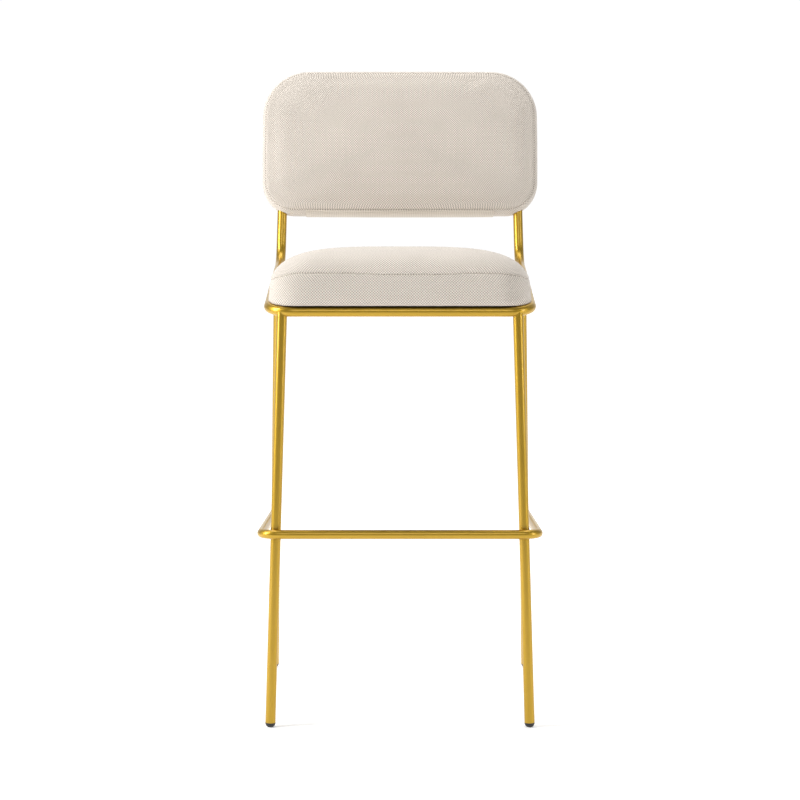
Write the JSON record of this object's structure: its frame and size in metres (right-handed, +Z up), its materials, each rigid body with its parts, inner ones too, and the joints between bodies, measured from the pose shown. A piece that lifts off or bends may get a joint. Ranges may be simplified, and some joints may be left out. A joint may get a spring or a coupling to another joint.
{
  "type": "bar stool with footrest",
  "caption": "Bar stool with a bent metal tube frame, a front footrest, a padded fabric seat and a padded fabric back on two posts.",
  "frame": {"origin": "On the floor, under the middle of the stool's bounding box.", "axes": "+X across the seat, -Y the sitter's front, +Z up. The footrest is at the front."},
  "size_m": [0.525, 0.534, 1.1655],
  "materials": {
    "frame_metal": "satin brass plated steel tube",
    "cover_fabric": "cream woven upholstery fabric",
    "closure_fabric": "folded hem of the same fabric",
    "foam": "polyurethane foam",
    "plywood": "birch plywood",
    "glide_plastic": "black moulded plastic",
    "plug_plastic": "black moulded plastic",
    "zinc_steel": "zinc-plated steel"
  },
  "bodies": {
    "root": {"back_board": "plywood", "back_closure_strip": "closure_fabric", "back_cover": "cover_fabric", "back_foam": "foam", "back_screw_lower_left": "zinc_steel", "back_screw_lower_right": "zinc_steel", "back_screw_upper_left": "zinc_steel", "back_screw_upper_right": "zinc_steel", "back_tab_lower_left": "frame_metal", "back_tab_lower_right": "frame_metal", "back_tab_upper_left": "frame_metal", "back_tab_upper_right": "frame_metal", "footrest_bar": "frame_metal", "front_glide_left": "glide_plastic", "front_glide_right": "glide_plastic", "front_leg_left": "frame_metal", "front_leg_right": "frame_metal", "hoop_tube": "frame_metal", "post_plug_left": "plug_plastic", "post_plug_right": "plug_plastic", "rear_cross_bar": "frame_metal", "rear_glide_left": "glide_plastic", "rear_glide_right": "glide_plastic", "rear_leg_left": "frame_metal", "rear_leg_right": "frame_metal", "seat_board": "plywood", "seat_cover": "cover_fabric", "seat_foam": "foam", "seat_rail_left": "frame_metal", "seat_rail_right": "frame_metal", "seat_screw_front_left": "zinc_steel", "seat_screw_front_right": "zinc_steel", "seat_screw_rear_left": "zinc_steel", "seat_screw_rear_right": "zinc_steel", "seat_tee_nut_front_left": "zinc_steel", "seat_tee_nut_front_right": "zinc_steel", "seat_tee_nut_rear_left": "zinc_steel", "seat_tee_nut_rear_right": "zinc_steel"}
  },
  "joints": []
}
